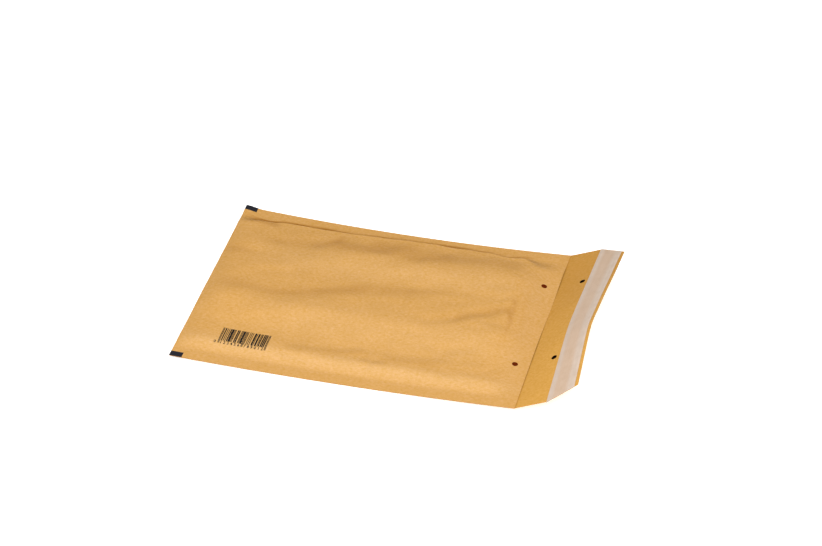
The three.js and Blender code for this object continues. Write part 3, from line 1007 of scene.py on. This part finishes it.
def draped_number(form, name, text, height, x_of, y_base):
    """Figures on the front panel: each is drawn by the built-in font as a thin solid, then laid
    on the paper by its place along x and y."""
    corners, faces, count = [], [], 0
    for k, figure in enumerate(text):
        curve = bpy.data.curves.new(name, "FONT")
        curve.body = figure
        curve.size = height / 0.7
        curve.resolution_u = 2
        curve.extrude = INK / 2
        curve.offset = 0.03 * height
        holder = bpy.data.objects.new(name, curve)
        mesh = bpy.data.meshes.new_from_object(holder)
        co = np.empty(len(mesh.vertices) * 3, np.float32)
        mesh.vertices.foreach_get("co", co)
        co = co.reshape(-1, 3).astype(float)
        corners.append(form.on_front(co[:, 0] + x_of[k], co[:, 1] + y_base, -INK_LIFT - co[:, 2]))
        faces += [[v + count for v in p.vertices] for p in mesh.polygons]
        count += len(co)
        bpy.data.objects.remove(holder)
        bpy.data.curves.remove(curve)
        bpy.data.meshes.remove(mesh)
    mesh = bpy.data.meshes.new(name)
    mesh.from_pydata(np.concatenate(corners).tolist(), [], faces)
    bm = bmesh.new()
    bm.from_mesh(mesh)
    bmesh.ops.remove_doubles(bm, verts=bm.verts, dist=1e-7)
    bmesh.ops.recalc_face_normals(bm, faces=bm.faces)
    bm.to_mesh(mesh)
    bm.free()
    piece = bpy.data.objects.new(name, mesh)
    bpy.context.scene.collection.objects.link(piece)
    return piece


# ---- What a user can change ----


def size(name, description, millimetres):
    """A length property with its default in millimetres."""
    return bpy.props.FloatProperty(
        name=name, description=description, default=millimetres * MM, min=0.0, unit="LENGTH", precision=4
    )


def colour(name, description, value):
    """A colour property with its default as an sRGB hex value."""
    return bpy.props.FloatVectorProperty(
        name=name, description=description, default=linear(value), size=3, min=0.0, max=1.0, subtype="COLOR"
    )


class EnvelopeSizes(bpy.types.PropertyGroup):
    """Cut sizes of the envelope and its liner."""

    length: size("Length", "Pouch from its bottom fold to its mouth", 225)
    width: size("Width", "Pouch over its side seams", 170)
    seam: size("Seam width", "Glued edge down each side", 10)
    crown: size("Crown", "Height of the front over its level middle", 9)
    paper: size("Paper", "Thickness of the kraft paper", 0.13)
    flap_length: size("Flap length", "Flap from its crease to its edge", 42.6)
    flap_shoulder: size("Flap shoulder", "Flap's straight sides, from the crease", 23.4)
    flap_taper: size("Flap taper", "How much each side is cut in at the flap's edge", 10.6)
    hole_radius: size("Hole radius", "Radius of the punched holes", 1.95)
    hole_spacing: size("Hole spacing", "Between the middles of a pair of holes", 86)
    hole_shift: size("Hole shift", "Front pair of holes, off the middle of the width", 1.5)
    flap_hole_shift: size("Flap hole shift", "Flap's pair of holes, off the middle of the width", 4)
    hole_inset: size("Hole inset", "Holes in the front panel, from the mouth", 9.3)
    flap_hole: size("Flap hole", "Holes in the flap, from the crease", 18.4)
    strip_start: size("Strip start", "Release strip's near edge, from the crease", 22.7)
    strip_width: size("Strip width", "Width of the release strip", 17.5)
    liner_setback: size("Liner setback", "Bubble film, from the mouth", 18)
    bubble_diameter: size("Bubble diameter", "Diameter of a bubble", 10)
    bubble_pitch: size("Bubble pitch", "Between the middles of neighbouring bubbles", 10.8)
    bubble_height: size("Bubble height", "Height of a free bubble", 3.4)


class EnvelopeColours(bpy.types.PropertyGroup):
    """Colours of the finishes."""

    kraft: colour("Kraft", "Outside of the kraft paper", "BB8F53")
    kraft_inside: colour("Kraft inside", "Inside of the kraft paper, as on the flap", "BE8F47")
    # Painted shade and painted highlight of the kraft, mixed in by its tone attribute
    kraft_painted_shade: colour("Kraft crease", "Kraft paper where it was creased hard", "8E5A16")
    kraft_painted_highlight: colour("Kraft polished", "Kraft paper where the padding polishes it", "BB935E")
    strip: colour("Strip", "Release strip over its glue", "BCA48F")
    strip_border: colour("Strip border", "Release strip beside its glue", "BEAD9F")
    film: colour("Film", "Bubble film", "EEF0F0")
    glue: colour("Glue", "Hot-melt glue", "D9BE8C")
    ink: colour("Ink", "Ink of the bar code", "0D0707")
    mark_ink: colour("Mark ink", "Ink of the marks at the fold", "10121E")
    floor: colour("Floor", "Light table", "FAFAFA")
    # Painted shade in the holes, on the dark discs there
    shade_disc: colour("Backing", "Dark backing of the flap's holes", "0B0503")
    brown_shade_disc: colour("Brown backing", "Deep brown backing of the front's holes", "571F07")


# ---- Operators ----

STRIP_ROWS, STRIP_COLUMNS = 13, 112
FLOOR_REACH = 6.0
# The room is white in front and overhead, and dimmer and warmer behind the far side, which keeps
# haze off it. It turns from one to the other between two places along its depth
ROOM_STRENGTH = 0.70
ROOM_NEAR, ROOM_FAR = (1, 1, 1, 1), (0.40, 0.32, 0.20, 1)
ROOM_TURN = (0.25, 0.80)
# Name, place in metres, width and power
SOFT_BOXES = (
    ("front_soft_box", (0.31, -1.15, 1.08), 1.3, 31),
    ("high_soft_box", (0.1, -0.4, 1.5), 0.9, 4),
)
CAMERA_ANGLES = (13.84, 36.07, 0.40)  # azimuth, elevation and roll, in degrees
CAMERA_DISTANCE = 1953.35 * MM
CAMERA_TARGET = (14.17 * MM, 44.56 * MM, 0)
CAMERA_FILM, CAMERA_LENS = 36, 127.75  # in millimetres


class ENVELOPE_OT_paper(bpy.types.Operator):
    """Make the kraft sheet: front panel, fold, back panel and flap in one"""

    bl_idname = "envelope.paper"
    bl_label = "Kraft Sheet"

    def execute(self, context):
        form = PouchForm(context.scene.envelope_sizes)
        colours = context.scene.envelope_colours
        points, groups, uv, tone = kraft_sheet(form)
        piece = make_piece("kraft_sheet", points, groups, uv, marks=(0, 1, 0), tone=tone)
        shades = colours.kraft_painted_shade, colours.kraft_painted_highlight
        outside = kraft_material("machine_glazed_kraft", colours.kraft, *shades)
        inside = kraft_material("kraft_reverse", colours.kraft_inside, *shades)
        finish_piece(piece, "kraft_paper", [outside, inside], "kraft_envelope")
        return {"FINISHED"}


class ENVELOPE_OT_film(bpy.types.Operator):
    """Make the bubble film that lines the pouch"""

    bl_idname = "envelope.film"
    bl_label = "Bubble Film"

    def execute(self, context):
        form = PouchForm(context.scene.envelope_sizes)
        points, groups = bubble_film(form)
        piece = make_piece("bubble_film", points, groups)
        finish_piece(piece, "bubble_film", [film_material(context.scene.envelope_colours)], "bubble_liner")
        return {"FINISHED"}


class ENVELOPE_OT_seam_glue(bpy.types.Operator):
    """Make the two bands of glue that close the side seams"""

    bl_idname = "envelope.seam_glue"
    bl_label = "Seam Glue"

    def execute(self, context):
        form = PouchForm(context.scene.envelope_sizes)
        colours = context.scene.envelope_colours
        material = glue_material("hot_melt_seam_glue", colours.glue, 0.5)
        x = np.linspace(form.fold_x + 1.8 * MM, form.mouth_x - 1 * MM, 76)
        lines = (("seam_glue_line_near", "seam_glue_near", -1), ("seam_glue_line_far", "seam_glue_far", 1))
        for name, node, side in lines:
            outer = form.half_width(x) - 1 * MM
            inner = form.half_width(x) - form.sizes.seam + 1 * MM
            y = np.stack([inner, outer] if side > 0 else [-outer, -inner], -1)
            points = np.stack([np.repeat(x[:, None], 2, 1), y, form.seam_height(x[:, None], y)], -1)
            quads = grid_faces(len(x), 2)[:, ::-1]
            points, groups = thicken(points.reshape(-1, 3), quads, SEAM_GLUE / 2, SEAM_GLUE / 2)
            finish_piece(make_piece(name, points, groups), "seam_glue", [material], node)
        return {"FINISHED"}


class ENVELOPE_OT_closure(bpy.types.Operator):
    """Make the flap's glue band and the release strip over it"""

    bl_idname = "envelope.closure"
    bl_label = "Glue Band and Release Strip"

    def execute(self, context):
        form = PouchForm(context.scene.envelope_sizes)
        sizes, colours = form.sizes, context.scene.envelope_colours
        start, width = form.crease + sizes.strip_start, sizes.strip_width
        depth = sizes.paper + LAYER_GAP + ADHESIVE / 2
        run = np.linspace(start + 2 * MM, start + width - 4.5 * MM, 9)
        half = form.half_at(run) - 1 * MM
        thick = ADHESIVE / 2
        points, groups = band(form, run, (-half, half), depth, thick, thick, STRIP_COLUMNS)
        glue = glue_material("hot_melt_flap_glue", colours.glue, 0.3)
        finish_piece(make_piece("glue_band", points, groups), "flap_glue", [glue], "flap_adhesive")
        thick = RELEASE_PAPER / 2
        depth = sizes.paper + 2 * LAYER_GAP + ADHESIVE + thick
        run = np.linspace(start, start + width, STRIP_ROWS)
        half = form.half_at(run)
        tip = STRIP_TIP * np.clip(1 - (run - start) / (5 * MM), 0, 1)
        points, groups = band(form, run, (-half - tip, half), depth, thick, thick, STRIP_COLUMNS)
        place = np.repeat(np.linspace(0, 1, STRIP_ROWS), STRIP_COLUMNS)
        along = np.tile(np.linspace(0, 1, STRIP_COLUMNS), STRIP_ROWS)
        uv = np.tile(np.stack([along, place], -1), (2, 1))
        strip = make_piece("release_paper_strip", points, groups, uv)
        finish_piece(strip, "release_paper", [release_material(colours)], "release_strip")
        # Dark discs in the flap's holes and the front's holes: painted shade, in the colour of the shade
        # seen through them
        for name, place, shift, shade_disc in (
            ("flap_hole_shade_disc", form.crease + sizes.flap_hole, sizes.flap_hole_shift, colours.shade_disc),
            ("front_hole_shade_disc", sizes.hole_inset, sizes.hole_shift, colours.brown_shade_disc),
        ):
            points, groups = hole_discs(form, place, shift)
            material = shade_disc_material(name + "_paper", shade_disc)
            finish_piece(make_piece(name, points, groups), "kraft_paper", [material])
        return {"FINISHED"}


class ENVELOPE_OT_print(bpy.types.Operator):
    """Make the printed bar code, its figures and the marks at the corners of the fold"""

    bl_idname = "envelope.print"
    bl_label = "Print"

    def execute(self, context):
        form = PouchForm(context.scene.envelope_sizes)
        colours = context.scene.envelope_colours
        ink = ink_material("flexographic_ink", colours.ink)
        mark_ink = ink_material("blue_black_flexographic_ink", colours.mark_ink)
        module, x_left, y_top, height = 0.337 * MM, -86.7 * MM, -52.1 * MM, 13 * MM
        points, groups = draped_bars(form, code_bars(NUMBER), module, x_left, y_top, height, 2 * MM)
        finish_piece(make_piece("bar_code", points, groups), "print_ink", [ink])
        places = [-8, *(4 + 7 * k for k in range(6)), *(51 + 7 * k for k in range(6))]
        x_of = [x_left + module * place for place in places]
        figures = draped_number(form, "code_figures", NUMBER, 2.0 * MM, x_of, y_top - height - 2.2 * MM)
        finish_piece(figures, "print_ink", [ink])
        mark_length, mark_width = 8.3 * MM, 4.8 * MM
        lead = mark_length - FOLD_NOSE
        run = joined(
            (form.panel - lead, form.panel, 5),
            (form.panel, form.fold_end, 10),
            (form.fold_end, form.fold_end + lead, 5),
        )
        for name, side in (("corner_mark_near", -1), ("corner_mark_far", 1)):
            half = form.half_at(run)
            edges = (half - mark_width, half) if side > 0 else (-half, -half + mark_width)
            points, groups = band(form, run, edges, -INK_LIFT, INK, 0, 5)
            finish_piece(make_piece(name, points, groups), "print_ink", [mark_ink])
        return {"FINISHED"}


class ENVELOPE_OT_stage(bpy.types.Operator):
    """Make the light table, the soft boxes and the camera"""

    bl_idname = "envelope.stage"
    bl_label = "Stage"

    def execute(self, context):
        scene = context.scene
        corners = FLOOR_REACH * np.array([(-1, -1, 0), (-1, 1, 0), (1, 1, 0), (1, -1, 0)], float)
        floor = make_piece("light_table", corners - [0, 0, 0.05 * MM], [np.array([[0, 3, 2, 1]])])
        floor.data.materials.append(floor_material(scene.envelope_colours))
        world = bpy.data.worlds.new("soft_room")
        world.use_nodes = True
        nodes, link = world.node_tree.nodes, world.node_tree.links.new
        background = nodes["Background"]
        background.inputs[1].default_value = ROOM_STRENGTH
        kinds = ("SeparateXYZ", "MapRange", "MixRGB")
        split, share, blend = (nodes.new("ShaderNode" + kind) for kind in kinds)
        link(nodes.new("ShaderNodeTexCoord").outputs["Generated"], split.inputs[0])
        link(split.outputs[1], share.inputs["Value"])
        share.inputs["From Min"].default_value, share.inputs["From Max"].default_value = ROOM_TURN
        link(share.outputs[0], blend.inputs[0])
        blend.inputs[1].default_value, blend.inputs[2].default_value = ROOM_NEAR, ROOM_FAR
        link(blend.outputs[0], background.inputs[0])
        scene.world = world
        for lamp in SOFT_BOXES:
            self.add_lamp(scene, *lamp)
        self.add_camera(scene)
        scene.view_settings.view_transform = "Standard"
        return {"FINISHED"}

    def add_lamp(self, scene, name, place, width, power):
        """A round soft box at a place, in metres, aimed at the origin."""
        lamp = bpy.data.lights.new(name, "AREA")
        lamp.shape = "DISK"
        lamp.size = width
        lamp.energy = power
        holder = bpy.data.objects.new(name, lamp)
        holder.location = place
        holder.rotation_euler = Vector(place).to_track_quat("Z", "Y").to_euler()
        scene.collection.objects.link(holder)

    def add_camera(self, scene):
        """Looks down and along the pouch: turned by its azimuth, raised by its elevation and
        rolled a little, at a distance from a point on the floor."""
        azimuth, elevation, roll = (math.radians(a) for a in CAMERA_ANGLES)
        level = math.cos(elevation)
        back = Vector((math.sin(azimuth) * level, -math.cos(azimuth) * level, math.sin(elevation)))
        right = (-back).cross(Vector((0, 0, 1))).normalized()
        up = right.cross(-back)
        right, up = (
            math.cos(roll) * right + math.sin(roll) * up,
            math.cos(roll) * up - math.sin(roll) * right,
        )
        lens = bpy.data.cameras.new("camera")
        lens.sensor_width, lens.lens = CAMERA_FILM, CAMERA_LENS
        lens.clip_end = 30
        camera = bpy.data.objects.new("camera", lens)
        turn = Matrix((right, up, back)).transposed().to_4x4()
        place = Vector(CAMERA_TARGET) + back * CAMERA_DISTANCE
        camera.matrix_world = Matrix.Translation(place) @ turn
        scene.collection.objects.link(camera)
        scene.camera = camera


class ENVELOPE_PT_panel(bpy.types.Panel):
    """Lists the pieces and what can be changed."""

    bl_idname = "ENVELOPE_PT_panel"
    bl_label = "Padded Envelope"
    bl_space_type = "VIEW_3D"
    bl_region_type = "UI"
    bl_category = "Envelope"

    def draw(self, context):
        for operator in OPERATORS:
            self.layout.operator(operator.bl_idname)
        for group in (context.scene.envelope_sizes, context.scene.envelope_colours):
            box = self.layout.box()
            for name in group.__annotations__:
                box.prop(group, name)


OPERATORS = (
    ENVELOPE_OT_stage,
    ENVELOPE_OT_paper,
    ENVELOPE_OT_film,
    ENVELOPE_OT_seam_glue,
    ENVELOPE_OT_closure,
    ENVELOPE_OT_print,
)
CLASSES = (EnvelopeSizes, EnvelopeColours, *OPERATORS, ENVELOPE_PT_panel)


def register():
    for cls in CLASSES:
        bpy.utils.register_class(cls)
    bpy.types.Scene.envelope_sizes = bpy.props.PointerProperty(type=EnvelopeSizes)
    bpy.types.Scene.envelope_colours = bpy.props.PointerProperty(type=EnvelopeColours)


def unregister():
    del bpy.types.Scene.envelope_colours
    del bpy.types.Scene.envelope_sizes
    for cls in reversed(CLASSES):
        bpy.utils.unregister_class(cls)


def main():
    """Registers the add-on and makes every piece."""
    register()
    bpy.ops.envelope.stage()
    bpy.ops.envelope.paper()
    bpy.ops.envelope.film()
    bpy.ops.envelope.seam_glue()
    bpy.ops.envelope.closure()
    bpy.ops.envelope.print()


if __name__ == "__main__":
    main()
